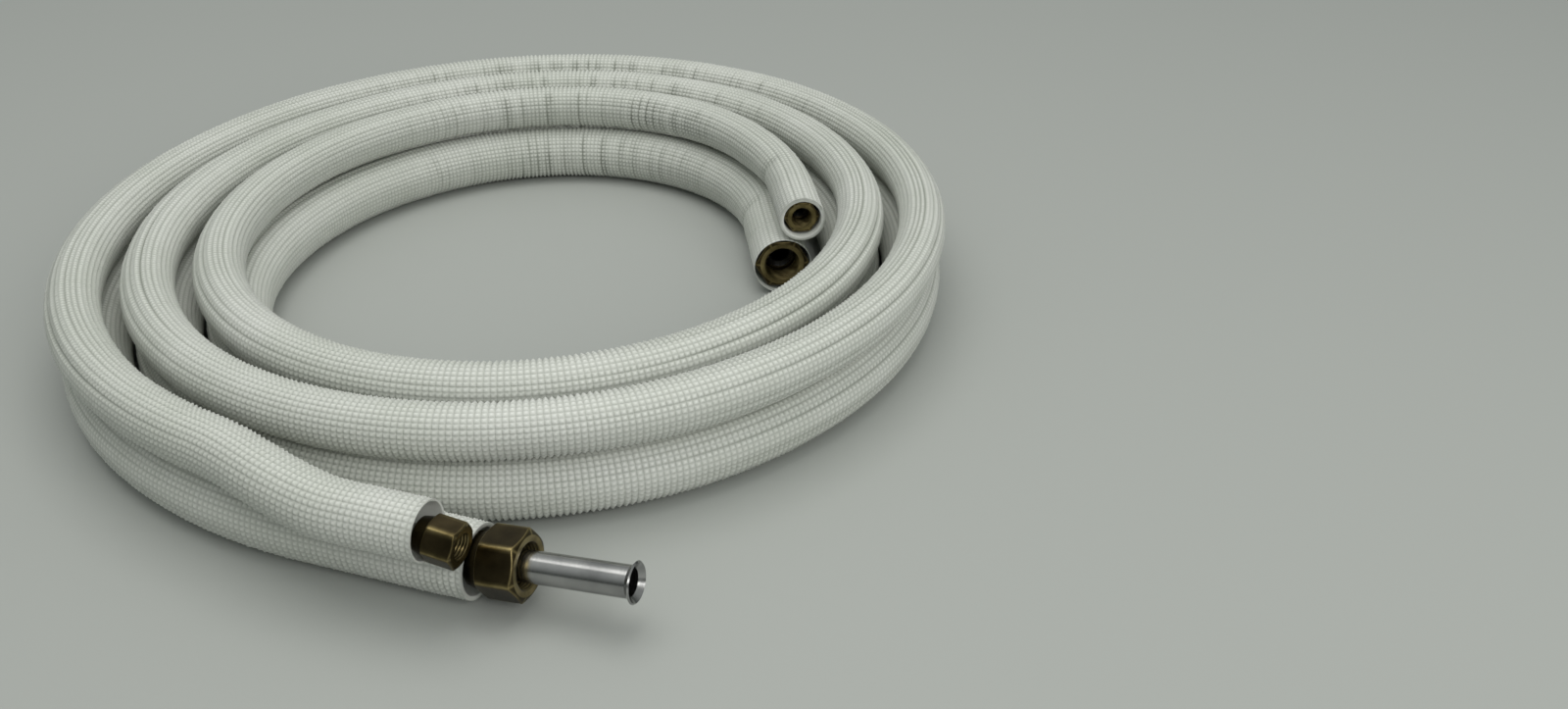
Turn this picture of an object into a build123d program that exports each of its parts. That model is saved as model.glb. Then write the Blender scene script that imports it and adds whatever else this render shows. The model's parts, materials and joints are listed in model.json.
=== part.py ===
import os
from math import ceil, cos, radians, sin, sqrt

from build123d import *

# Sizes in millimetres, angles in degrees. The coil lies flat on the floor plane, z = 0.

# Metal tubes
liquid_tube_d = 6.35
gas_tube_d = 12.7
tube_wall = 0.8
liquid_flare_d = 9.1
gas_flare_d = 16.6

# Foam sleeves, one round each tube, lying one above the other
foam_wall = 9.6
foam_ease = 0.3
sleeve_run = 260.0
floor_flat = 5.0
line_gap = 0.35

# Route of the lower line, from its inner end outwards, turning to the left
first_turn_radius = 153.0
inner_straight_share = 0.386
inner_bend_ease = 1.2
inner_bend = 88.0
turn_gap = 0.7
oval = 29.3
oval_heading = 84.0
turn_step = 30
turn_steps = 28
outer_bend_ease = 18.2
outer_bend = 35.7
outer_straight = 73.7
front_heading = -18.4

# The upper line leans outwards all along and rolls further over towards both ends
lean = 9.0
inner_lean = 21.0
front_lean = 35.0
inner_roll_length = 107.0
front_roll_length = 119.0
roll_span_count = 4
even_length = 36.0
liquid_setback = 10.0

# Bare ends tip inside the front mouths: the larger tube up, the smaller one down
gas_tip = 4.7
gas_tip_radius = 150.0
liquid_tip = -7.0
liquid_tip_radius = 60.0
tip_depth = 22.0

# Flare nuts, measured from the rear face to the mouth
liquid_nut_af = 17.0
liquid_nut_length = 17.5
liquid_thread_bore = 9.86
liquid_thread_major = 11.11
gas_nut_af = 26.0
gas_nut_length = 23.0
gas_thread_bore = 17.5
gas_thread_major = 19.05
nut_tube_ease = 0.25
flare_gap = 0.2
collar_share = 0.28
seat_share = 0.3
groove_share = 0.09
collar_taper = 0.8
hex_chamfer = 0.94

# Where the mouths of the nuts and the bare tube end stand past the sleeve ends
front_liquid_reach = 14.0
front_gas_nut_reach = 21.0
front_gas_reach = 65.5
inner_recess = 3.0

# Widened sleeve mouths that the nuts go into
mouth_ease = 0.35
mouth_depth = 26.0
mouth_taper = 0.15
front_gas_room = 0.5
front_liquid_room = 1.1

inner_straight = inner_straight_share * first_turn_radius
inner_bend_radius = first_turn_radius - oval + inner_bend_ease
liquid_sleeve_d = liquid_tube_d + 2 * foam_wall
gas_sleeve_d = gas_tube_d + 2 * foam_wall
turn_pitch = gas_sleeve_d + turn_gap
first_heading = front_heading - outer_bend - turn_steps * turn_step
gas_height = sqrt((gas_sleeve_d / 2) ** 2 - (floor_flat / 2) ** 2)
line_spacing = (gas_sleeve_d + liquid_sleeve_d) / 2 + line_gap
probe = 0.01
straight_angle = 0.01


def corner_radius(across_flats):
    """Distance from a hexagon's centre to its corners."""
    return across_flats / 2 / cos(radians(30))


def turn_radius(turned):
    """Radius of the turns where the first of them has turned by an angle."""
    swell = oval * cos(radians(2 * (first_heading + turned - oval_heading)))
    return first_turn_radius + turn_pitch * turned / 360 + swell


def route_steps():
    """Steps of the lower line from the inner end outwards, as (length, radius, turn)."""
    steps = [(inner_straight, 0, 0), (0, inner_bend_radius, inner_bend)]
    for index in range(turn_steps):
        steps.append((0, turn_radius((index + 0.5) * turn_step), turn_step))
    outer_bend_radius = turn_radius(turn_steps * turn_step + outer_bend / 2) + outer_bend_ease
    steps.append((0, outer_bend_radius, outer_bend))
    steps.append((outer_straight, 0, 0))
    return steps


def line_from(steps, start, stop):
    """The steps between two distances along the lower line."""
    kept = []
    passed = 0
    for length, radius, turn in steps:
        reach = length + radius * radians(turn)
        share = (min(stop, passed + reach) - max(start, passed)) / reach
        if share > 0:
            kept.append((length * share, radius, turn * share))
        passed += reach
    return kept


def total_length(steps):
    """Length of the lower line's sleeve."""
    return sum(length + radius * radians(turn) for length, radius, turn in steps)


def move(place, steps):
    """Place (x, y, heading) reached from another along the steps."""
    x, y, heading = place
    for length, radius, turn in steps:
        before = radians(heading)
        after = radians(heading + turn)
        x += length * cos(before) + radius * (sin(after) - sin(before))
        y += length * sin(before) - radius * (cos(after) - cos(before))
        heading += turn
    return x, y, heading


def lean_at(steps, distance):
    """Angle by which the upper line leans outwards at a distance along the lower line."""
    angle = lean
    for end_lean, roll_length, setback, gone in (
        (inner_lean, inner_roll_length, 0, distance),
        (front_lean, front_roll_length, liquid_setback, total_length(steps) - distance),
    ):
        share = min(1, max(0, (roll_length - gone) / (roll_length - even_length - setback)))
        angle += (end_lean - lean) * share * share * (3 - 2 * share)
    return angle


def upper_point(distance):
    """Centre of the upper line beside a distance along the lower line."""
    x, y, heading = move(start, line_from(steps, 0, distance))
    angle = lean_at(steps, distance)
    spread = line_spacing * sin(radians(angle))
    height = gas_height + line_spacing * cos(radians(angle))
    return Vector(x + spread * sin(radians(heading)), y - spread * cos(radians(heading)), height)


def upper_direction(distance):
    """Direction of the upper line beside a distance along the lower line."""
    low = max(distance - probe, 0)
    high = min(distance + probe, total_length(steps))
    return (upper_point(high) - upper_point(low)).normalized()


def centre_start(steps):
    """Start of the lower line that puts the middle of the whole outline at the origin."""
    start = (0, 0, first_heading - inner_bend)
    spread = line_spacing * sin(radians(lean)) + liquid_sleeve_d / 2
    across = []
    along = []
    place = start
    for length, radius, turn in steps:
        for _ in range(ceil(turn)):
            place = move(place, [(0, radius, turn / ceil(turn))])
            heading = radians(place[2])
            across.append(place[0] + spread * sin(heading))
            along.append(place[1] - spread * cos(heading))
        place = move(place, [(length, 0, 0)])
    reach = front_gas_reach * cos(radians(gas_tip))
    lip = gas_flare_d / 2
    along.append(place[1] + reach * sin(radians(place[2])) - lip * cos(radians(place[2])))
    return -(min(across) + max(across)) / 2, -(min(along) + max(along)) / 2, first_heading - inner_bend


steps = route_steps()
start = centre_start(steps)


def flat_vector(heading):
    """Level unit vector along a heading."""
    return Vector(cos(radians(heading)), sin(radians(heading)), 0)


def tipped_end(point, along, tip_radius, tip):
    """Bend from a point in the upright plane by the tip angle."""
    up = Vector(0, 0, 1) if tip > 0 else Vector(0, 0, -1)
    angle = radians(abs(tip))
    end = point + along * (tip_radius * sin(angle)) + up * (tip_radius * (1 - cos(angle)))
    return TangentArc(point, end, tangent=along)


def rolled_run(first, last, spans):
    """Pairs of tangent arcs, or lines, along the upper line between two distances along the lower line."""
    for span in range(spans):
        low = first + (last - first) * span / spans
        high = first + (last - first) * (span + 1) / spans
        begin, finish = upper_point(low), upper_point(high)
        out, into = upper_direction(low), upper_direction(high)
        chord = finish - begin
        if max(out.get_angle(chord), into.get_angle(chord)) < straight_angle:
            run = Line(begin, finish)
            continue
        spread = chord.dot(out + into)
        bend = 2 * (1 - out.dot(into))
        reach = chord.dot(chord) / (spread + sqrt(spread * spread + bend * chord.dot(chord)))
        joint = (begin + out * reach + finish - into * reach) / 2
        run = TangentArc(begin, joint, tangent=out)
        run = TangentArc(joint, finish, tangent=run % 1)
    return run


def lower_path(inner_extra, front_extra, tip):
    """Centre line of the lower sleeve, or of its tube where the front end is tipped."""
    x, y, heading = start
    origin = Vector(x, y, gas_height) - flat_vector(heading) * inner_extra
    with BuildLine() as path:
        run = Line(origin, origin + flat_vector(heading) * (inner_straight + inner_extra))
        for _, radius, turn in steps[1:-1]:
            run = JernArc(run @ 1, run % 1, radius, turn)
        straight = outer_straight + front_extra
        if tip:
            run = Line(run @ 1, (run @ 1) + (run % 1) * (outer_straight - tip_depth))
            run = tipped_end(run @ 1, run % 1, gas_tip_radius, tip)
            straight = front_extra + tip_depth - gas_tip_radius * radians(abs(tip))
        Line(run @ 1, (run @ 1) + (run % 1) * straight)
    return path.wire()


def upper_path(inner_extra, front_extra, tip):
    """Centre line of the upper sleeve, or of its tube where the front end is tipped."""
    whole = total_length(steps)
    end = whole - liquid_setback
    spread = line_spacing * sin(radians(lean))
    with BuildLine() as path:
        point, along = upper_point(0), upper_direction(0)
        if inner_extra > 0:
            Line(point - along * inner_extra, point)
        rolled_run(-min(inner_extra, 0), even_length, 1)
        rolled_run(even_length, inner_roll_length, roll_span_count)
        point = upper_point(inner_roll_length)
        along = flat_vector(move(start, line_from(steps, 0, inner_roll_length))[2])
        for _, radius, turn in line_from(steps, inner_roll_length, whole - front_roll_length):
            run = JernArc(point, along, radius + spread, turn)
            point, along = run @ 1, run % 1
        rolled_run(whole - front_roll_length, end - even_length, roll_span_count)
        if tip:
            run = rolled_run(end - even_length, end - tip_depth, 1)
            run = tipped_end(run @ 1, run % 1, liquid_tip_radius, tip)
            front_extra += tip_depth - liquid_tip_radius * radians(abs(tip))
        else:
            run = rolled_run(end - even_length, end, 1)
        if front_extra > 0:
            Line(run @ 1, (run @ 1) + (run % 1) * front_extra)
    return path.wire()


def end_plane(path, place, reach):
    """Plane square to a path's end, its normal pointing out of the coil, its x level."""
    outward = (path % place) * (1 if place else -1)
    return Plane(
        origin=(path @ place) + outward * reach,
        x_dir=Vector(0, 0, 1).cross(outward),
        z_dir=outward,
    )


def profile_plane(plane):
    """Plane through an end plane's normal: x is the radius, y is the distance outward."""
    return Plane(origin=plane.origin, x_dir=plane.x_dir, z_dir=-plane.y_dir)


def tube(path, tube_d, flare_d):
    """Tube along a path, with a 45 degree flare grown from each end."""
    outer = tube_d / 2
    inner = outer - tube_wall
    rise = flare_d / 2 - outer
    lip = tube_wall / sqrt(2)
    with BuildPart() as piece:
        with BuildSketch(end_plane(path, 0, 0)):
            Circle(outer)
            Circle(inner, mode=Mode.SUBTRACT)
        sweep(path=path)
        for place in (0, 1):
            end = end_plane(path, place, 0)
            with BuildSketch(profile_plane(end)):
                with BuildLine():
                    Polyline(
                        (inner, 0),
                        (outer, 0),
                        (outer + rise, rise),
                        (outer + rise - lip, rise + lip),
                        (inner, 2 * lip - tube_wall),
                        close=True,
                    )
                make_face()
            revolve(axis=Axis(end.origin, end.z_dir))
    return piece


def flare_nut(mouth, across_flats, length, tube_d, flare_d, thread_bore, thread_major):
    """Flare nut with its mouth on the given plane and its rear collar behind it."""
    corner = corner_radius(across_flats)
    flat = across_flats / 2
    collar = collar_share * length
    seat = seat_share * length
    tube_hole = tube_d / 2 + nut_tube_ease
    flare_hole = flare_d / 2 + 2 * flare_gap
    cone_top = seat + flare_hole - tube_hole
    groove_top = cone_top + groove_share * length
    rear = mouth.offset(-length)
    chamfer_rise = (corner - hex_chamfer * flat) * 0.5
    with BuildPart() as piece:
        with BuildSketch(rear):
            RegularPolygon(flat, 6, major_radius=False)
        extrude(amount=length)
        with BuildSketch(profile_plane(rear)):
            with BuildLine():
                Polyline(
                    (0, 0),
                    (collar_taper * flat, 0),
                    (hex_chamfer * flat, collar),
                    (corner, collar + chamfer_rise),
                    (corner, length - chamfer_rise),
                    (hex_chamfer * flat, length),
                    (0, length),
                    close=True,
                )
            make_face()
        revolve(axis=Axis(rear.origin, rear.z_dir), mode=Mode.INTERSECT)
        with BuildSketch(profile_plane(rear)):
            with BuildLine():
                Polyline(
                    (0, 0),
                    (tube_hole, 0),
                    (tube_hole, seat),
                    (flare_hole, cone_top),
                    (thread_major / 2, cone_top),
                    (thread_major / 2, groove_top),
                    (thread_bore / 2, groove_top + (thread_major - thread_bore) / 2),
                    (thread_bore / 2, length - (thread_major - thread_bore) / 2),
                    (thread_major / 2, length),
                    (0, length),
                    close=True,
                )
            make_face()
        revolve(axis=Axis(rear.origin, rear.z_dir), mode=Mode.SUBTRACT)
    return piece


def sleeve(path, sleeve_d, tube_d, mouth_ds, flat):
    """Foam sleeve along a path, with a pressed flat below and a mouth at each end that is given a width."""
    bore = tube_d / 2 + foam_ease
    with BuildPart() as piece:
        with BuildSketch(end_plane(path, 0, 0)):
            Circle(sleeve_d / 2)
            if flat:
                with Locations((0, -gas_height)):
                    Rectangle(sleeve_d, sleeve_d, align=(Align.CENTER, Align.MAX), mode=Mode.SUBTRACT)
            Circle(bore, mode=Mode.SUBTRACT)
        sweep(path=path)
        for place, mouth_d in enumerate(mouth_ds):
            if not mouth_d:
                continue
            end = end_plane(path, place, 0)
            with BuildSketch(profile_plane(end)):
                with BuildLine():
                    Polyline(
                        (0, 1),
                        (mouth_d / 2, 1),
                        (mouth_d / 2 - mouth_taper, -mouth_depth),
                        (bore, -mouth_depth - mouth_d / 2 + bore),
                        (0, -mouth_depth - mouth_d / 2 + bore),
                        close=True,
                    )
                make_face()
            revolve(axis=Axis(end.origin, end.z_dir), mode=Mode.SUBTRACT)
    return piece


def sleeve_runs(path):
    """A sleeve's path in order, as its straight ends and runs of a handy length between them."""
    edges = path.order_edges()
    groups = [edges[:1], edges[1:2]]
    for edge in edges[2:-1]:
        if sum(part.length for part in groups[-1]) + edge.length > sleeve_run:
            groups.append([])
        groups[-1].append(edge)
    groups.append(edges[-1:])
    return [Wire(group) for group in groups]


def export_sleeve(name, path, sleeve_d, tube_d, mouth_ds, flat):
    """Write a sleeve in lengths that meet face to face, numbered from its inner end."""
    runs = sleeve_runs(path)
    for number, run in enumerate(runs, start=1):
        mouths = (mouth_ds[0] if number == 1 else 0, mouth_ds[1] if number == len(runs) else 0)
        piece = sleeve(run, sleeve_d, tube_d, mouths, flat)
        piece.part.label = f"{name}_{number:02d}"
        export_step(piece.part, f"parts/{piece.part.label}.step")


def flare_depth(length):
    """Distance from a nut's mouth back to where a seated tube's flare begins."""
    return length * (1 - seat_share) - nut_tube_ease + flare_gap


liquid_mouth_d = 2 * (corner_radius(liquid_nut_af) + mouth_ease)
gas_mouth_d = 2 * (corner_radius(gas_nut_af) + mouth_ease)
front_liquid_mouth_d = liquid_mouth_d + 2 * front_liquid_room
front_gas_mouth_d = gas_nut_af + 2 * front_gas_room
liquid_depth = flare_depth(liquid_nut_length)
gas_depth = flare_depth(gas_nut_length)
gas_flare_start = front_gas_reach - (gas_flare_d - gas_tube_d) / 2

liquid_path = upper_path(0, 0, 0)
gas_path = lower_path(0, 0, 0)
liquid_tube_path = upper_path(-inner_recess - liquid_depth, front_liquid_reach - liquid_depth, liquid_tip)
gas_tube_path = lower_path(-inner_recess - gas_depth, gas_flare_start, gas_tip)

liquid_mouths = (liquid_mouth_d, front_liquid_mouth_d)
gas_mouths = (gas_mouth_d, front_gas_mouth_d)

liquid_tube = tube(liquid_tube_path, liquid_tube_d, liquid_flare_d)
liquid_tube.part.label = "liquid_tube"

gas_tube = tube(gas_tube_path, gas_tube_d, gas_flare_d)
gas_tube.part.label = "gas_tube"

liquid_nut_sizes = (liquid_nut_af, liquid_nut_length, liquid_tube_d, liquid_flare_d,
                    liquid_thread_bore, liquid_thread_major)
gas_nut_sizes = (gas_nut_af, gas_nut_length, gas_tube_d, gas_flare_d, gas_thread_bore, gas_thread_major)

liquid_front_mouth = end_plane(liquid_tube_path, 1, liquid_depth)
gas_front_mouth = end_plane(gas_tube_path, 1, front_gas_nut_reach - gas_flare_start)
liquid_inner_mouth = end_plane(liquid_tube_path, 0, liquid_depth)
gas_inner_mouth = end_plane(gas_tube_path, 0, gas_depth)

liquid_nut_front = flare_nut(liquid_front_mouth, *liquid_nut_sizes)
liquid_nut_front.part.label = "liquid_nut_front"

gas_nut_front = flare_nut(gas_front_mouth, *gas_nut_sizes)
gas_nut_front.part.label = "gas_nut_front"

liquid_nut_inner = flare_nut(liquid_inner_mouth, *liquid_nut_sizes)
liquid_nut_inner.part.label = "liquid_nut_inner"

gas_nut_inner = flare_nut(gas_inner_mouth, *gas_nut_sizes)
gas_nut_inner.part.label = "gas_nut_inner"

os.makedirs("parts", exist_ok=True)
export_sleeve("liquid_sleeve", liquid_path, liquid_sleeve_d, liquid_tube_d, liquid_mouths, False)
export_sleeve("gas_sleeve", gas_path, gas_sleeve_d, gas_tube_d, gas_mouths, True)
export_step(liquid_tube.part, "parts/liquid_tube.step")
export_step(gas_tube.part, "parts/gas_tube.step")
export_step(liquid_nut_front.part, "parts/liquid_nut_front.step")
export_step(gas_nut_front.part, "parts/gas_nut_front.step")
export_step(liquid_nut_inner.part, "parts/liquid_nut_inner.step")
export_step(gas_nut_inner.part, "parts/gas_nut_inner.step")


def report_thread(name, mouth, length, tube_d, flare_d, thread_bore, thread_major):
    """Print the plain threaded wall of a nut: its middle, direction, radius and length."""
    lead = (thread_major - thread_bore) / 2
    wall_start = seat_share * length + flare_d / 2 + 2 * flare_gap - tube_d / 2 - nut_tube_ease
    wall_start += groove_share * length + lead
    middle = mouth.origin - mouth.z_dir * ((length - wall_start + lead) / 2)
    print("thread", name, *middle, *mouth.z_dir, thread_bore / 2, length - lead - wall_start)


print("sleeve lengths", gas_path.length, liquid_path.length)
report_thread("liquid_nut_front", liquid_front_mouth, *liquid_nut_sizes[1:])
report_thread("gas_nut_front", gas_front_mouth, *gas_nut_sizes[1:])
report_thread("liquid_nut_inner", liquid_inner_mouth, *liquid_nut_sizes[1:])
report_thread("gas_nut_inner", gas_inner_mouth, *gas_nut_sizes[1:])
bare_end = end_plane(gas_tube_path, 1, front_gas_reach - gas_flare_start)
print("bare tube end", *bare_end.origin, *bare_end.z_dir)
print("floor contact", *(gas_path @ 0.5))
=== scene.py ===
"""Insulated twin tube coil: embossed foam sleeves, a bright flared tube and flare nuts.

Lengths are in metres and angles in degrees.
"""

import json
from math import cos, pi, radians, sin, sqrt

import bpy
import numpy as np
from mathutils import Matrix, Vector


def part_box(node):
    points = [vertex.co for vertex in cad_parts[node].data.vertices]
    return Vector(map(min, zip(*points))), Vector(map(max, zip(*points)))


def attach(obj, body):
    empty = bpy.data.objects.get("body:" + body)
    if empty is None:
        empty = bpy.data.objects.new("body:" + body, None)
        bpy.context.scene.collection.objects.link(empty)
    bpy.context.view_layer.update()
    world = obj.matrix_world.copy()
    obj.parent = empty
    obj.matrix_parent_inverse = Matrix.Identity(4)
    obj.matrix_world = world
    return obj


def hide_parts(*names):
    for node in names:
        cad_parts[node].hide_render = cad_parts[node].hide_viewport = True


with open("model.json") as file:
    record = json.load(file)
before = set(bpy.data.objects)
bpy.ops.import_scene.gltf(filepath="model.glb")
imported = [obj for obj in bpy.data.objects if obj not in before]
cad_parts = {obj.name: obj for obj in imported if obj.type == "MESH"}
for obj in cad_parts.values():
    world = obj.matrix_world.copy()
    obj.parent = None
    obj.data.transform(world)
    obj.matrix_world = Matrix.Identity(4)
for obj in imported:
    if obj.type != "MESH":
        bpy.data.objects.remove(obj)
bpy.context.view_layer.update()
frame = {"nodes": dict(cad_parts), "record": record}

MM = 0.001
SEED = 7
rng = np.random.default_rng(SEED)

# Route of the lower line from its inner end outwards, turning to the left
FIRST_TURN_RADIUS = 153.0 * MM
TURN_PITCH = 32.6 * MM
OVAL = 29.3 * MM
OVAL_HEADING = 84.0
TURN_STEP = 30.0
TURN_STEPS = 28
INNER_STRAIGHT_SHARE = 0.386
INNER_STRAIGHT = INNER_STRAIGHT_SHARE * FIRST_TURN_RADIUS
INNER_BEND_EASE = 1.2 * MM
INNER_BEND_RADIUS = FIRST_TURN_RADIUS - OVAL + INNER_BEND_EASE
INNER_BEND = 88.0
OUTER_BEND_EASE = 18.2 * MM
OUTER_BEND = 35.7
OUTER_STRAIGHT = 73.7 * MM
FRONT_HEADING = -18.4
FIRST_HEADING = FRONT_HEADING - OUTER_BEND - TURN_STEPS * TURN_STEP

# The upper line leans outwards and rolls further over towards both ends
LEAN = 9.0
INNER_LEAN = 21.0
FRONT_LEAN = 35.0
INNER_ROLL_LENGTH = 107.0 * MM
FRONT_ROLL_LENGTH = 119.0 * MM
EVEN_LENGTH = 36.0 * MM
LIQUID_SETBACK = 10.0 * MM

# Samples that measure a line's run, its outline and how far a packed length reaches
RUN_SAMPLES = 2000
OUTLINE_SAMPLES = 6000
REACH_SAMPLES = 3000
FRAME_STEP = 0.1 * MM

# Foam sleeves; the mouths are those of the inner and the front end
LIQUID_SLEEVE = {"radius": 12.775 * MM, "bore": 3.475 * MM, "mouths": (10.165 * MM, 11.265 * MM)}
GAS_SLEEVE = {"radius": 15.95 * MM, "bore": 6.65 * MM, "mouths": (15.36 * MM, 13.5 * MM)}
MOUTH_DEPTH = 26.0 * MM
MOUTH_TAPER = 0.15 * MM
FLOOR_FLAT = 5.0 * MM
LINE_GAP = 0.35 * MM
GAS_HEIGHT = sqrt(GAS_SLEEVE["radius"] ** 2 - (FLOOR_FLAT / 2) ** 2)
LINE_SPACING = GAS_SLEEVE["radius"] + LIQUID_SLEEVE["radius"] + LINE_GAP

# Embossed skin: rows of four-sided studs. Runs are in stations, of a stud each, and spans in rows
STUD_PITCH = 2.65 * MM
STUD_DEPTH = 1.05 * MM
STUD_JITTER = 0.05
STUD_WEAR = 0.12
UNEVEN_SHARE = 0.15
UNEVEN_RUN = 30
LUMP_HEIGHT = 0.25 * MM
LUMP_RUNS = (22, 14)
LUMP_SPAN = 6

# Where the skin is taut or slack: by the share of a long side of the oval, and by the cosine from
# the outside of the turn, each from where it starts to where it is full
TAUT_ALONG = (0.09375, 0.71875)
TAUT_AROUND = (-1.0, 0.1)
SLACK_ALONG = (0.8, 0.4 / 3)
SLACK_AROUND = (-0.1, -0.8)
TAUT_FLATTENING = 0.6

# Long grooves where the skin is taut, creases across it where it is slack, and a kink at the inner bend
FLUTE_DEPTH = 1.1 * MM
FLUTE_GAPS = (1, 2, 2, 3)
FLUTE_STRENGTH = (0.5, 1)
FLUTE_RUN = 90
FLUTE_MEAN = 0.75
FLUTE_SWING = 0.5
FLUTE_ELSEWHERE = 0.2
CREASE_DEPTH = 1.1 * MM
CREASE_SPAN = 5
CREASE_MEAN = 0.8
CREASE_SWING = 0.6
KINK_DEPTH = 1.4 * MM
KINK_WIDTH = 4.0 * MM
KINK_AROUND = (-0.1, -0.6)
# Painted shade that every valley gets, and how much the kink adds; flutes and creases add more
VALLEY_PAINTED_SHADE = 0.55
KINK_PAINTED_SHADE = 0.5

# Cut ends of the skin, and the rings of its bore
END_FADE = 3.0 * MM
RIM_ROUND = 0.3 * MM
RIM_ROUND_DEPTH = 0.5 * MM
RIM_WAVE = 0.5 * MM
RIM_WAVE_REACH = 4.0 * MM
RIM_WAVE_KNOTS = 5
SKIN_WALL = 0.2 * MM
BORE_STRIDE = 8

# Flare nuts, measured from the rear face
LIQUID_NUT = {"flats": 17.0 * MM, "length": 17.5 * MM, "tube": 6.35 * MM, "flare": 9.1 * MM,
              "minor": 9.86 * MM, "major": 11.11 * MM, "pitch": 1.27 * MM}
GAS_NUT = {"flats": 26.0 * MM, "length": 23.0 * MM, "tube": 12.7 * MM, "flare": 16.6 * MM,
           "minor": 17.5 * MM, "major": 19.05 * MM, "pitch": 1.5875 * MM}
NUT_TUBE_EASE = 0.25 * MM
FLARE_GAP = 0.2 * MM
COLLAR_SHARE = 0.28
SEAT_SHARE = 0.3
GROOVE_SHARE = 0.09
COLLAR_TAPER = 0.8
HEX_CHAMFER = 0.94
EDGE_ROUND = 0.25 * MM
NUT_COLUMNS = 96
COLLAR_RINGS = 6
BODY_RINGS = 8
THREAD_STEPS = 6
NUT_SHARP_ANGLE = 38.0

# Painted highlight on the nuts' brass, from 0 where it is dark to 1 where it is painted bright gold
HIGHLIGHT_BAND = 0.9 * MM
COLLAR_HIGHLIGHT = 0.4
EDGE_HIGHLIGHT = 0.7
MOUTH_HIGHLIGHT = 0.8
THREAD_HIGHLIGHT = 0.7

# Reach of the front large nut's mouth back from the bare tube's end
FRONT_GAS_NUT_BACK = 44.5 * MM

# Camera, placed as the photograph's
CAMERA_PLACE = (0.13995, -0.67288, 0.35586)
CAMERA_PITCH = 29.73
CAMERA_ROLL = 0.34
CAMERA_LENS = 32.6
CAMERA_NEAR = 0.01

# Floor
FLOOR_REACH = 40.0
FLOOR_DROP = 0.0001


def eased(share):
    """Smooth step from 0 to 1."""
    share = np.clip(share, 0, 1)
    return share * share * (3 - 2 * share)


def eased_between(value, start, stop):
    """Smooth step from 0 where a value is at start to 1 where it is at stop."""
    return eased((value - start) / (stop - start))


def smooth_noise(length, size):
    """Seeded random values from -1 to 1 that change smoothly over about size samples."""
    knots = rng.uniform(-1, 1, int(length / size) + 3)
    place = np.arange(length) / size
    index = place.astype(int)
    share = eased(place - index)
    return knots[index] * (1 - share) + knots[index + 1] * share


def turn_radius(turned):
    """Radius of the turns where the first of them has turned by an angle."""
    swell = OVAL * cos(radians(2 * (FIRST_HEADING + turned - OVAL_HEADING)))
    return FIRST_TURN_RADIUS + TURN_PITCH * turned / 360 + swell


def route():
    """Ends of the lower line's steps, their curvatures, and the place and heading where each starts."""
    bends = [(INNER_STRAIGHT, 0.0), (INNER_BEND_RADIUS * radians(INNER_BEND), 1 / INNER_BEND_RADIUS)]
    for index in range(TURN_STEPS):
        radius = turn_radius((index + 0.5) * TURN_STEP)
        bends.append((radius * radians(TURN_STEP), 1 / radius))
    outer_radius = turn_radius(TURN_STEPS * TURN_STEP + OUTER_BEND / 2) + OUTER_BEND_EASE
    bends.append((outer_radius * radians(OUTER_BEND), 1 / outer_radius))
    bends.append((OUTER_STRAIGHT, 0.0))
    x, y, turned = 0.0, 0.0, radians(FIRST_HEADING - INNER_BEND)
    starts = []
    for length, curve in bends:
        starts.append((x, y, turned))
        after = turned + length * curve
        if curve:
            x += (sin(after) - sin(turned)) / curve
            y -= (cos(after) - cos(turned)) / curve
        else:
            x += length * cos(turned)
            y += length * sin(turned)
        turned = after
    lengths, curves = np.array(bends).T
    return np.concatenate([[0.0], np.cumsum(lengths)]), curves, np.array(starts)


STEP_ENDS, STEP_CURVES, STEP_STARTS = route()
LINE_LENGTH = STEP_ENDS[-1]


def lower_line(distance):
    """Places and headings of the lower line at distances from its inner end."""
    step = np.clip(np.searchsorted(STEP_ENDS, distance, side="right") - 1, 0, len(STEP_CURVES) - 1)
    gone = distance - STEP_ENDS[step]
    curve = STEP_CURVES[step]
    x, y, heading = STEP_STARTS[step].T
    after = heading + gone * curve
    bend = np.where(curve > 0, curve, 1.0)
    x = x + np.where(curve > 0, (np.sin(after) - np.sin(heading)) / bend, gone * np.cos(heading))
    y = y - np.where(curve > 0, (np.cos(after) - np.cos(heading)) / bend, -gone * np.sin(heading))
    return x, y, after


def lean_at(distance):
    """Angle by which the upper line leans outwards."""
    inner = eased((INNER_ROLL_LENGTH - distance) / (INNER_ROLL_LENGTH - EVEN_LENGTH))
    left = LINE_LENGTH - distance
    front = eased((FRONT_ROLL_LENGTH - left) / (FRONT_ROLL_LENGTH - EVEN_LENGTH - LIQUID_SETBACK))
    return np.radians(LEAN + (INNER_LEAN - LEAN) * inner + (FRONT_LEAN - LEAN) * front)


def line_points(line, distance):
    """Centres of a line at distances along the lower one."""
    x, y, heading = lower_line(distance)
    centre = np.column_stack([x, y, np.full_like(x, GAS_HEIGHT)])
    if line == "liquid":
        lean = lean_at(distance)
        spread = LINE_SPACING * np.sin(lean)
        centre += np.column_stack([spread * np.sin(heading), -spread * np.cos(heading),
                                   LINE_SPACING * np.cos(lean)])
    return centre


def line_frames(line, distance):
    """Centres of a line, with unit vectors along it, level out of the turn, and up from it."""
    along = line_points(line, distance + FRAME_STEP) - line_points(line, distance - FRAME_STEP)
    along /= np.linalg.norm(along, axis=1)[:, None]
    out = np.cross(along, [0.0, 0.0, 1.0])
    out /= np.linalg.norm(out, axis=1)[:, None]
    return line_points(line, distance), along, out, np.cross(out, along)


def sleeve_nodes(line):
    """Names of a sleeve's packed lengths, from its inner end."""
    return sorted(name for name in frame["nodes"] if name.startswith(f"{line}_sleeve_"))


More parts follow.
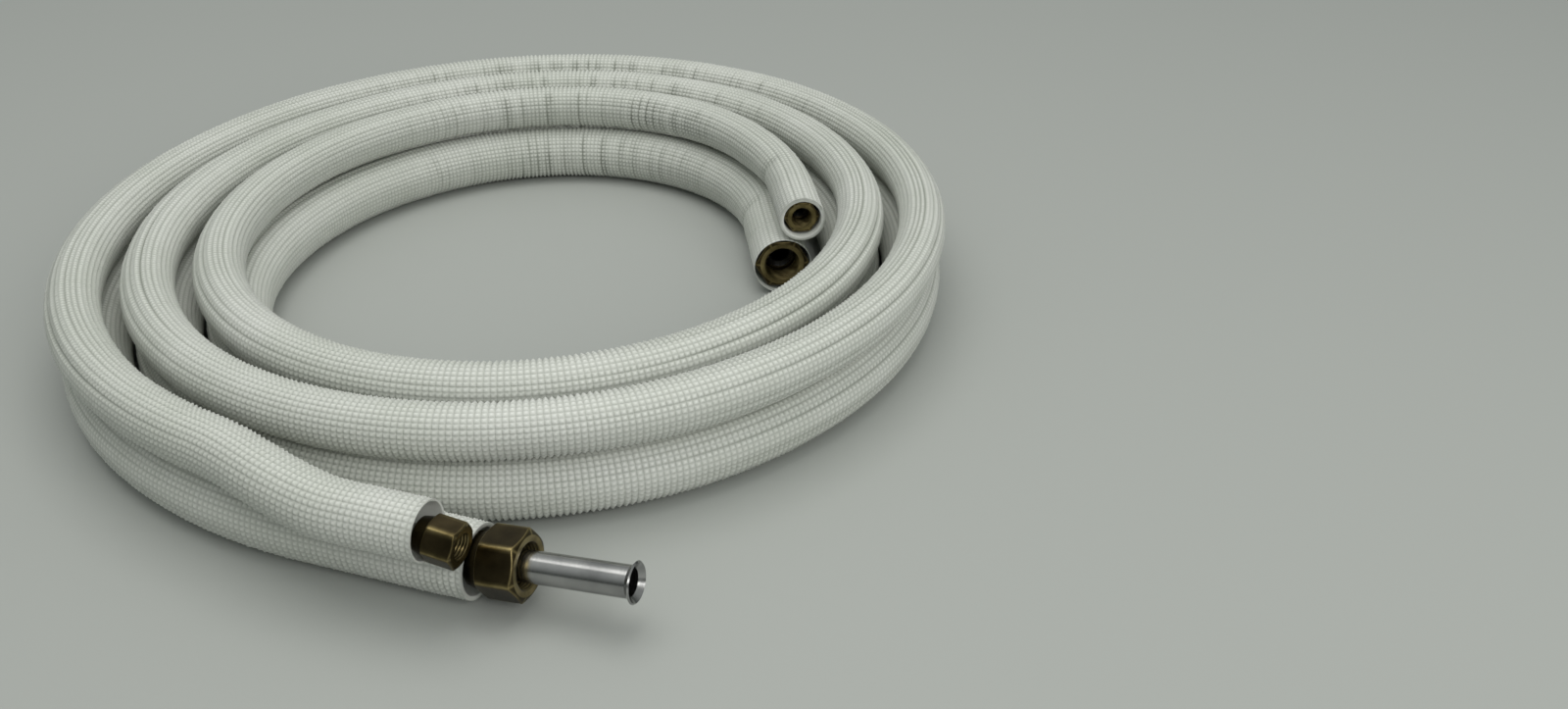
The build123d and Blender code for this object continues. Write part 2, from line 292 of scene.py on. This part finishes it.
def route_shift():
    """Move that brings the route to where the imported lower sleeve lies."""
    centre, _, out, _ = line_frames("gas", np.linspace(0, LINE_LENGTH, OUTLINE_SAMPLES))
    reach = GAS_SLEEVE["radius"]
    edges = np.concatenate([centre + out * reach, centre - out * reach])
    boxes = np.array([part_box(name) for name in sleeve_nodes("gas")])
    middle = (boxes[:, 0].min(0) + boxes[:, 1].max(0)) / 2
    return np.array([*(middle - (edges.min(0) + edges.max(0)) / 2)[:2], 0.0])


SHIFT = route_shift()


def node_reach(line, name):
    """Greatest distance along the lower line that a packed length of a sleeve reaches."""
    distance = np.linspace(0, LINE_LENGTH, REACH_SAMPLES)
    centres = line_points(line, distance) + SHIFT
    points = (np.array(vertex.co) for vertex in frame["nodes"][name].data.vertices)
    return distance[max(np.linalg.norm(centres - point, axis=1).argmin() for point in points)]


def ring_points(frames, angle, radius):
    """Rings of points round a line, with a radius for each ring and angle."""
    centre, _, out, up = frames
    spokes = np.cos(angle)[:, None] * out[:, None, :] + np.sin(angle)[:, None] * up[:, None, :]
    return centre[:, None, :] + spokes * np.broadcast_to(radius, spokes.shape[:2])[:, :, None]


def tube_faces(first, rings, columns):
    """Quads between rings of points that are each closed on themselves.

    They face outwards where a ring runs right-handed about the way to the next one, as on the nuts.
    The sleeves' rings run left-handed, so there they face inwards.
    """
    ring = np.arange(rings - 1)[:, None] * columns + first
    column = np.arange(columns)[None, :]
    after = (column + 1) % columns
    quads = [ring + column, ring + after, ring + columns + after, ring + columns + column]
    return np.stack(quads, axis=-1).reshape(-1, 4)


def make_mesh(name, points, faces, material, values=None):
    """Smooth-shaded object from points and arrays of faces, with named values at its points."""
    mesh = bpy.data.meshes.new(name)
    mesh.from_pydata(points.tolist(), [], [face for group in faces for face in group.tolist()])
    mesh.shade_smooth()
    mesh.materials.append(material)
    for key, value in (values or {}).items():
        mesh.attributes.new(key, "FLOAT", "POINT").data.foreach_set("value", value.ravel())
    piece = bpy.data.objects.new(name, mesh)
    bpy.context.scene.collection.objects.link(piece)
    return piece


def skin_relief(distance, rows, length):
    """Depth of the valleys and of the kink, and the painted shade of the valleys, by station and row.
    """
    stations = len(distance)
    side = np.cos(np.arange(rows) * 2 * pi / rows)[None, :]
    heading = lower_line(distance)[2]
    long_side = (0.5 + 0.5 * np.cos(2 * (heading - radians(OVAL_HEADING))))[:, None]
    taut = eased_between(long_side, *TAUT_ALONG) * eased_between(side, *TAUT_AROUND)
    slack = eased_between(long_side, *SLACK_ALONG) * eased_between(side, *SLACK_AROUND)
    strength = np.zeros(rows)
    marks = np.cumsum(rng.choice(FLUTE_GAPS, rows))
    marks = marks[marks < rows]
    strength[marks] = rng.uniform(*FLUTE_STRENGTH, len(marks))
    drift = np.column_stack([smooth_noise(stations, FLUTE_RUN) for _ in range(rows)])
    flute = strength * np.clip(FLUTE_MEAN + FLUTE_SWING * drift, 0, 1)
    flute = flute * (FLUTE_ELSEWHERE + (1 - FLUTE_ELSEWHERE) * taut)
    crease = slack * rng.uniform(0, 1, stations)[:, None] ** 2
    drift = np.stack([smooth_noise(rows, CREASE_SPAN) for _ in distance])
    crease = crease * np.clip(CREASE_MEAN + CREASE_SWING * drift, 0, 1)
    kink = np.exp(-((distance - INNER_STRAIGHT - KINK_WIDTH) / KINK_WIDTH) ** 2)[:, None]
    kink = kink * eased_between(side, *KINK_AROUND)
    uneven = 1 + UNEVEN_SHARE * smooth_noise(stations, UNEVEN_RUN)[:, None]
    depth = STUD_DEPTH * (1 - TAUT_FLATTENING * taut) * uneven
    depth = depth + FLUTE_DEPTH * flute + CREASE_DEPTH * crease
    depth = depth * eased(np.minimum(distance, length - distance)[:, None] / END_FADE)
    marked = flute + crease + KINK_PAINTED_SHADE * kink
    painted_shade = np.clip(VALLEY_PAINTED_SHADE + (1 - VALLEY_PAINTED_SHADE) * marked, 0, 1)
    return depth, kink * KINK_DEPTH, painted_shade


def least_radius(sleeve, distance, length):
    """Radius that the skin keeps over the widened mouths at a sleeve's ends."""
    least = np.zeros_like(distance)
    for mouth, from_end in zip(sleeve["mouths"], (distance, length - distance)):
        least = np.maximum(least, mouth + SKIN_WALL - np.maximum(from_end - MOUTH_DEPTH, 0))
    return least


def rim_wave(distance, angle, length):
    """Shift of the skin along the line that makes its cut ends a little wavy."""
    rows = len(angle)
    wave = 0
    for end in (0, length):
        fade = np.exp(-np.abs(distance - end) / RIM_WAVE_REACH)
        wave = wave + np.outer(fade, smooth_noise(rows, rows / RIM_WAVE_KNOTS) * np.sin(angle / 2))
    return RIM_WAVE * wave


def skin_points(line, sleeve):
    """Distances and angles of the skin's lattice, its corners, its studs' tips and its painted shade.
    """
    length = LINE_LENGTH - (LIQUID_SETBACK if line == "liquid" else 0)
    run = line_points(line, np.linspace(0, length, RUN_SAMPLES))
    run = np.linalg.norm(np.diff(run, axis=0), axis=1).sum()
    stations = round(run / STUD_PITCH / 2) * 2 + 1
    rows = round(2 * pi * sleeve["radius"] / STUD_PITCH)
    distance = np.linspace(0, length, stations)
    angle = np.arange(rows) * 2 * pi / rows
    frames = line_frames(line, distance)
    depth, kink, painted_shade = skin_relief(distance, rows, length)
    # The lumps reach from -2 to 2, so that the highest ones touch the sleeve's radius
    lump = smooth_noise(stations, LUMP_RUNS[0])[:, None] * smooth_noise(rows, LUMP_SPAN)
    lump = lump + smooth_noise(stations, LUMP_RUNS[1])[:, None]
    top = sleeve["radius"] + LUMP_HEIGHT * (lump - 2) / 2 - kink
    near_end = np.minimum(distance, length - distance)
    top = top - RIM_ROUND * (near_end < STUD_PITCH / 2)[:, None]
    least = least_radius(sleeve, distance, length)[:, None]
    corners = ring_points(frames, angle, np.maximum(top - depth, least))
    corners += frames[1][:, None, :] * rim_wave(distance, angle, length)[:, :, None]
    between = tuple((values[1:] + values[:-1]) / 2 for values in frames)
    crown = (top[1:] + top[:-1]) / 2
    crown = (crown + np.roll(crown, -1, axis=1)) / 2
    crown -= rng.uniform(0, STUD_WEAR * STUD_DEPTH, crown.shape)
    crown = np.maximum(crown, least[1:] + SKIN_WALL / 2)
    tips = ring_points(between, angle + pi / rows, crown)
    tips += rng.uniform(-STUD_JITTER, STUD_JITTER, tips.shape) * STUD_PITCH
    return distance, angle, corners, tips, painted_shade


def foam_skin(line, sleeve, material):
    """Embossed sleeve in two closed lengths, with its cut ends, widened mouths and bore.

    All its faces point into the foam.
    """
    distance, angle, corners, tips, painted_shade = skin_points(line, sleeve)
    rows = len(angle)
    nodes = sleeve_nodes(line)
    half = len(nodes) // 2
    middle = np.abs(distance - node_reach(line, nodes[half - 1])).argmin()
    for part, (first, last) in enumerate(((0, middle), (middle, len(distance) - 1))):
        skin = corners[first:last + 1].reshape(-1, 3)
        studs = tips[first:last].reshape(-1, 3)
        inside = inner_wall(line, sleeve, part, distance[first:last + 1], angle)
        rings = last - first + 1
        base = len(skin) + len(studs)
        cell = tube_faces(0, rings, rows)
        apex = np.arange(len(studs)) + len(skin)
        faces = [np.column_stack([cell[:, edge], cell[:, (edge + 1) % 4], apex]) for edge in range(4)]
        faces.append(tube_faces(base, len(inside), rows)[:, ::-1])
        faces.append(cap_faces(0, base, rows)[:, ::-1])
        faces.append(cap_faces((rings - 1) * rows, base + (len(inside) - 1) * rows, rows))
        points = np.concatenate([skin, studs, inside.reshape(-1, 3)]) + SHIFT
        points[:, 2] = np.maximum(points[:, 2], 0)
        # The skin's corners carry the valleys' painted shade; the studs' tips, mouths and bore carry
        # none
        groove = np.zeros(len(points))
        groove[:len(skin)] = painted_shade[first:last + 1].ravel()
        piece = make_mesh(f"{line}_foam_{part + 1}", points, faces, material, {"groove": groove})
        sharpen_lattice(piece.data, len(skin))
        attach(piece, "root")
        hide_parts(*(nodes[half:] if part else nodes[:half]))


def sharpen_lattice(mesh, count):
    """Marks the edges between a mesh's first points, the skin's corners, as sharp."""
    ends = np.empty(len(mesh.edges) * 2, dtype=int)
    mesh.edges.foreach_get("vertices", ends)
    mesh.edges.foreach_set("use_edge_sharp", (ends.reshape(-1, 2) < count).all(axis=1))


def cap_faces(outer, inner, columns):
    """Quads from a ring of points to a smaller ring in the same plane."""
    column = np.arange(columns)
    after = (column + 1) % columns
    return np.stack([outer + column, outer + after, inner + after, inner + column], axis=-1)


def inner_wall(line, sleeve, part, distance, angle):
    """Rings of a sleeve's bore and of the widened mouth at its open end."""
    mouth = sleeve["mouths"][part]
    end, inward = (distance[0], 1) if part == 0 else (distance[-1], -1)
    reach = MOUTH_DEPTH + mouth - sleeve["bore"]
    spots = distance[::BORE_STRIDE] if part == 0 else distance[::-BORE_STRIDE]
    spots = np.append(spots, distance[-1] if part == 0 else distance[0])
    spots = np.unique(spots[np.abs(spots - end) > reach + STUD_PITCH])
    depths = np.array([0, RIM_ROUND_DEPTH, MOUTH_DEPTH / 2, MOUTH_DEPTH, reach])
    radii = np.array([mouth + RIM_ROUND / 2, mouth, mouth - MOUTH_TAPER / 2, mouth - MOUTH_TAPER,
                      sleeve["bore"]])
    place = np.concatenate([end + inward * depths, spots])
    radii = np.concatenate([radii, np.full(len(spots), sleeve["bore"])])
    order = np.argsort(place)
    frames = line_frames(line, place[order])
    return ring_points(frames, angle, radii[order][:, None])


def soft_min(first, second, rounding):
    """Smaller of two values, with the corner between them rounded off."""
    gap = np.abs(first - second)
    return np.minimum(first, second) - rounding * np.exp(-gap / rounding) / 2


def nut_rings(nut, angle):
    """Rings of a flare nut, from its rear face over the hexagon and back through the thread.

    Each is its place along the nut, and its radius and painted highlight by angle.
    """
    flat = nut["flats"] / 2
    corner = flat / cos(pi / 6)
    length = nut["length"]
    minor, major = nut["minor"] / 2, nut["major"] / 2
    tube_hole = nut["tube"] / 2 + NUT_TUBE_EASE
    flare_hole = nut["flare"] / 2 + 2 * FLARE_GAP
    collar, seat = COLLAR_SHARE * length, SEAT_SHARE * length
    cone_top = seat + flare_hole - tube_hole
    groove_top = cone_top + GROOVE_SHARE * length
    lead = major - minor
    rise = (corner - HEX_CHAMFER * flat) / 2
    hexagon = flat / np.cos(angle % (pi / 3) - pi / 6)
    hexagon = soft_min(hexagon, corner - EDGE_ROUND, EDGE_ROUND)
    # Painted highlight: gold within a band of the hexagon's corners and edges, on the collar, the front
    # face's chamfer and the mouth
    from_corner = np.abs((angle + pi / 6) % (pi / 3) - pi / 6) * flat
    on_corner = np.clip(1 - from_corner / HIGHLIGHT_BAND, 0, 1)
    even = np.ones_like(angle)
    rings = [(0, tube_hole * even, 0 * even),
             (0, (COLLAR_TAPER * flat - EDGE_ROUND) * even, COLLAR_HIGHLIGHT * even)]
    knots = np.array([0, collar, collar + rise, length - rise, length])
    limits = np.array([COLLAR_TAPER * flat, HEX_CHAMFER * flat, corner, corner, HEX_CHAMFER * flat])
    places = [np.linspace(EDGE_ROUND, collar, COLLAR_RINGS)]
    places += [np.linspace(start, stop, BODY_RINGS)[1:] for start, stop in zip(knots[1:], knots[2:])]
    for place in np.concatenate(places):
        limit = np.interp(place, knots, limits)
        on_hexagon = place > collar
        shape = soft_min(hexagon, limit, EDGE_ROUND) if on_hexagon else limit * even
        edge = np.clip(1 - abs(limit - hexagon) / HIGHLIGHT_BAND, 0, 1) * on_hexagon
        rings.append((place, shape, np.maximum(EDGE_HIGHLIGHT * edge, on_corner * on_hexagon)))
    rings.append((length, (HEX_CHAMFER * flat - 2 * EDGE_ROUND) * even, even))
    rings.append((length, (major + EDGE_ROUND) * even, MOUTH_HIGHLIGHT * even))
    thread_end = groove_top + lead
    steps = round((length - thread_end) / nut["pitch"] * THREAD_STEPS)
    # The thread's crests carry a painted highlight, its roots none
    for place in np.linspace(length - EDGE_ROUND / 2, thread_end, steps):
        turn = (place / nut["pitch"] - angle / (2 * pi)) % 1
        groove = np.abs(2 * turn - 1)
        ramp = np.clip((place - (length - lead)) / lead, 0, 1)
        shape = minor + lead * np.maximum(groove, ramp)
        rings.append((place, shape, THREAD_HIGHLIGHT * (1 - groove)))
    for place, radius in ((groove_top, major), (cone_top, major), (cone_top, flare_hole),
                          (seat, tube_hole), (0, tube_hole)):
        rings.append((place, radius * even, 0 * even))
    return rings


def flare_nut(name, mouth, outward, nut, material):
    """Threaded hexagon nut with its mouth at a point, facing along a direction."""
    outward = Vector(outward).normalized()
    across = Vector((0, 0, 1)).cross(outward).normalized()
    upward = outward.cross(across)
    angle = np.arange(NUT_COLUMNS) * 2 * pi / NUT_COLUMNS
    rings = nut_rings(nut, angle)
    spokes = np.outer(np.cos(angle), across) + np.outer(np.sin(angle), upward)
    points = [np.array(mouth) + np.array(outward) * (place - nut["length"]) + spokes * radius[:, None]
              for place, radius, _ in rings[:-1]]
    painted_highlight = np.concatenate([highlight_share for _, _, highlight_share in rings[:-1]])
    faces = tube_faces(0, len(rings), NUT_COLUMNS) % (len(points) * NUT_COLUMNS)
    piece = make_mesh(name, np.concatenate(points), [faces], material, {"painted_highlight": painted_highlight})
    piece.data.set_sharp_from_angle(angle=radians(NUT_SHARP_ANGLE))
    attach(piece, "root")
    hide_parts(name.removesuffix("_body"))


def new_material(name):
    """Empty node material, its nodes and links, and its Principled shader."""
    material = bpy.data.materials.new(name)
    material.use_nodes = True
    tree = material.node_tree
    return material, tree.nodes, tree.links, tree.nodes["Principled BSDF"]


def noise_node(nodes, links, scale, detail):
    """Noise texture in the object's own coordinates."""
    place = nodes.new("ShaderNodeTexCoord")
    noise = nodes.new("ShaderNodeTexNoise")
    noise.inputs["Scale"].default_value = scale
    noise.inputs["Detail"].default_value = detail
    links.new(place.outputs["Object"], noise.inputs["Vector"])
    return noise


def ramp_node(nodes, links, source, low, high, start, stop):
    """Colour ramp between two colours, driven by a socket."""
    ramp = nodes.new("ShaderNodeValToRGB")
    ramp.color_ramp.elements[0].position = start
    ramp.color_ramp.elements[0].color = (*low, 1)
    ramp.color_ramp.elements[1].position = stop
    ramp.color_ramp.elements[1].color = (*high, 1)
    links.new(source, ramp.inputs["Fac"])
    return ramp.outputs["Color"]


def mix_node(nodes, links, factor, first, second):
    """Mix of two colour sockets by a factor socket."""
    mix = nodes.new("ShaderNodeMix")
    mix.data_type = "RGBA"
    links.new(factor, mix.inputs["Factor"])
    links.new(first, mix.inputs["A"])
    links.new(second, mix.inputs["B"])
    return mix.outputs["Result"]


def attribute_node(nodes, name):
    """Value stored at a mesh's points."""
    attribute = nodes.new("ShaderNodeAttribute")
    attribute.attribute_name = name
    return attribute.outputs["Fac"]


def map_node(nodes, links, source, low, high):
    """Maps a socket's 0 to 1 onto another range."""
    mapped = nodes.new("ShaderNodeMapRange")
    mapped.inputs["To Min"].default_value = low
    mapped.inputs["To Max"].default_value = high
    links.new(source, mapped.inputs["Value"])
    return mapped.outputs["Result"]


def bump_node(nodes, links, height, strength, distance, shader):
    """Fine relief on a shader."""
    bump = nodes.new("ShaderNodeBump")
    bump.inputs["Strength"].default_value = strength
    bump.inputs["Distance"].default_value = distance
    links.new(height, bump.inputs["Height"])
    links.new(bump.outputs["Normal"], shader.inputs["Normal"])


def foam_material():
    """White embossed polyethylene skin, with painted shade in its grooves."""
    material, nodes, links, shader = new_material("foam_skin")
    broad = noise_node(nodes, links, scale=14, detail=4).outputs["Fac"]
    tint = ramp_node(nodes, links, broad, low=(0.74, 0.76, 0.70), high=(0.84, 0.85, 0.81),
                     start=0.3, stop=0.7)
    painted_shade = ramp_node(nodes, links, broad, low=(0.24, 0.26, 0.22), high=(0.31, 0.325, 0.285),
                      start=0.3, stop=0.7)
    # Painted shade: the valleys' corners are mixed towards the dark ramp
    color = mix_node(nodes, links, attribute_node(nodes, "groove"), tint, painted_shade)
    links.new(color, shader.inputs["Base Color"])
    fine = noise_node(nodes, links, scale=900, detail=3).outputs["Fac"]
    bump_node(nodes, links, fine, strength=0.3, distance=0.0003, shader=shader)
    links.new(map_node(nodes, links, fine, low=0.28, high=0.48), shader.inputs["Roughness"])
    shader.inputs["Specular IOR Level"].default_value = 0.5
    shader.inputs["Subsurface Weight"].default_value = 0.25
    shader.inputs["Subsurface Radius"].default_value = (1.0, 1.0, 1.0)
    shader.inputs["Subsurface Scale"].default_value = 0.0008
    return material


def tube_material(axis):
    """Bright drawn metal with fine rings round the tube's bare end."""
    material, nodes, links, shader = new_material("drawn_tube")
    place = nodes.new("ShaderNodeTexCoord")
    along = nodes.new("ShaderNodeVectorMath")
    along.operation = "DOT_PRODUCT"
    along.inputs[1].default_value = axis
    links.new(place.outputs["Object"], along.inputs[0])
    rings = nodes.new("ShaderNodeTexNoise")
    rings.noise_dimensions = "1D"
    rings.inputs["Scale"].default_value = 900
    rings.inputs["Detail"].default_value = 4
    links.new(along.outputs["Value"], rings.inputs["W"])
    broad = noise_node(nodes, links, scale=60, detail=4).outputs["Fac"]
    tint = ramp_node(nodes, links, broad, low=(0.30, 0.30, 0.30), high=(0.42, 0.42, 0.415),
                     start=0.35, stop=0.65)
    links.new(tint, shader.inputs["Base Color"])
    links.new(map_node(nodes, links, rings.outputs["Fac"], low=0.14, high=0.30),
              shader.inputs["Roughness"])
    bump_node(nodes, links, rings.outputs["Fac"], strength=0.12, distance=0.0001, shader=shader)
    shader.inputs["Metallic"].default_value = 1.0
    return material


def brass_material():
    """Dark brass, darkened further to stand in for the dark surroundings it reflects, with painted gold
    highlights along its edges.
    """
    material, nodes, links, shader = new_material("dark_brass_painted_highlights")
    # The dark ramp is brass painted darker for the dark surroundings it reflects; the gold ramp is a
    # painted highlight, mixed in by the stored mask
    broad = noise_node(nodes, links, scale=120, detail=5).outputs["Fac"]
    dark = ramp_node(nodes, links, broad, low=(0.034, 0.026, 0.013), high=(0.070, 0.053, 0.026),
                     start=0.3, stop=0.7)
    painted_gold = ramp_node(nodes, links, broad, low=(0.20, 0.155, 0.065), high=(0.46, 0.37, 0.17),
                     start=0.3, stop=0.7)
    painted_highlight = nodes.new("ShaderNodeMath")
    painted_highlight.operation = "MULTIPLY"
    links.new(attribute_node(nodes, "painted_highlight"), painted_highlight.inputs[0])
    links.new(map_node(nodes, links, broad, low=0.4, high=1.1), painted_highlight.inputs[1])
    links.new(mix_node(nodes, links, painted_highlight.outputs["Value"], dark, painted_gold), shader.inputs["Base Color"])
    fine = noise_node(nodes, links, scale=1400, detail=3).outputs["Fac"]
    links.new(map_node(nodes, links, fine, low=0.26, high=0.44), shader.inputs["Roughness"])
    bump_node(nodes, links, fine, strength=0.15, distance=0.0002, shader=shader)
    shader.inputs["Metallic"].default_value = 1.0
    return material


def dress_node(name, material):
    """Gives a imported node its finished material."""
    mesh = frame["nodes"][name].data
    mesh.materials.clear()
    mesh.materials.append(material)


def area_light(name, place, target, size, power, color):
    """Soft rectangular lamp aimed at a point."""
    lamp = bpy.data.lights.new(name, "AREA")
    lamp.shape = "RECTANGLE"
    lamp.size, lamp.size_y = size
    lamp.energy = power
    lamp.color = color
    lamp_object = bpy.data.objects.new(name, lamp)
    lamp_object.location = place
    lamp_object.rotation_euler = (Vector(target) - Vector(place)).to_track_quat("-Z", "Y").to_euler()
    bpy.context.scene.collection.objects.link(lamp_object)


def studio_world():
    """Soft surroundings, darker towards the horizon."""
    world = bpy.data.worlds.new("studio")
    world.use_nodes = True
    nodes, links = world.node_tree.nodes, world.node_tree.links
    place = nodes.new("ShaderNodeTexCoord")
    split = nodes.new("ShaderNodeSeparateXYZ")
    links.new(place.outputs["Generated"], split.inputs["Vector"])
    sky = ramp_node(nodes, links, split.outputs["Z"], low=(0.11, 0.125, 0.115), high=(0.90, 0.94, 0.92),
                    start=0.12, stop=0.8)
    links.new(sky, nodes["Background"].inputs["Color"])
    nodes["Background"].inputs["Strength"].default_value = 0.65
    bpy.context.scene.world = world


def studio():
    """Pale floor, soft light from above and from the right front, and the camera."""
    material, *_, shader = new_material("pale_floor")
    shader.inputs["Base Color"].default_value = (0.42, 0.435, 0.415, 1)
    shader.inputs["Roughness"].default_value = 0.5
    corners = np.array([[-1, -1, 0], [1, -1, 0], [1, 1, 0], [-1, 1, 0]]) * FLOOR_REACH
    floor = make_mesh("floor_plane", corners, [np.array([[0, 1, 2, 3]])], material)
    floor.location.z = -FLOOR_DROP
    studio_world()
    area_light("key", place=(-0.1, 0.1, 1.8), target=(0, 0, 0), size=(1.6, 1.4),
               power=12, color=(1, 0.99, 0.95))
    area_light("fill", place=(1.0, -1.3, 0.9), target=(0, 0, 0), size=(0.9, 0.9),
               power=10, color=(1, 1, 0.97))
    camera = bpy.data.cameras.new("camera")
    camera.lens = CAMERA_LENS
    camera.clip_start = CAMERA_NEAR
    view = bpy.data.objects.new("camera", camera)
    view.location = CAMERA_PLACE
    view.rotation_mode = "ZXY"
    view.rotation_euler = (radians(90 - CAMERA_PITCH), 0, radians(CAMERA_ROLL))
    bpy.context.scene.collection.objects.link(view)
    bpy.context.scene.camera = view
    bpy.context.scene.view_settings.view_transform = "Standard"


mounts = {mount["name"]: mount for mount in frame["record"]["mounts"]}
foam = foam_material()
brass = brass_material()
foam_skin("gas", GAS_SLEEVE, foam)
foam_skin("liquid", LIQUID_SLEEVE, foam)

bare_end, tube_axis = (Vector(mounts["gas_flare_front"][key]) for key in ("pos_m", "axis"))
metal = tube_material(tube_axis)
dress_node("gas_tube", metal)
dress_node("liquid_tube", metal)
flare_nut("gas_nut_front_body", bare_end - tube_axis * FRONT_GAS_NUT_BACK, tube_axis, GAS_NUT, brass)
for name in ("liquid_nut_front", "liquid_nut_inner", "gas_nut_inner"):
    nut = LIQUID_NUT if name.startswith("liquid") else GAS_NUT
    thread = mounts[f"{name}_thread"]
    outward = Vector(thread["axis"])
    ahead = thread["dims"]["length_mm"] * MM / 2 + (nut["major"] - nut["minor"]) / 2
    flare_nut(f"{name}_body", Vector(thread["pos_m"]) + outward * ahead, outward, nut, brass)
studio()
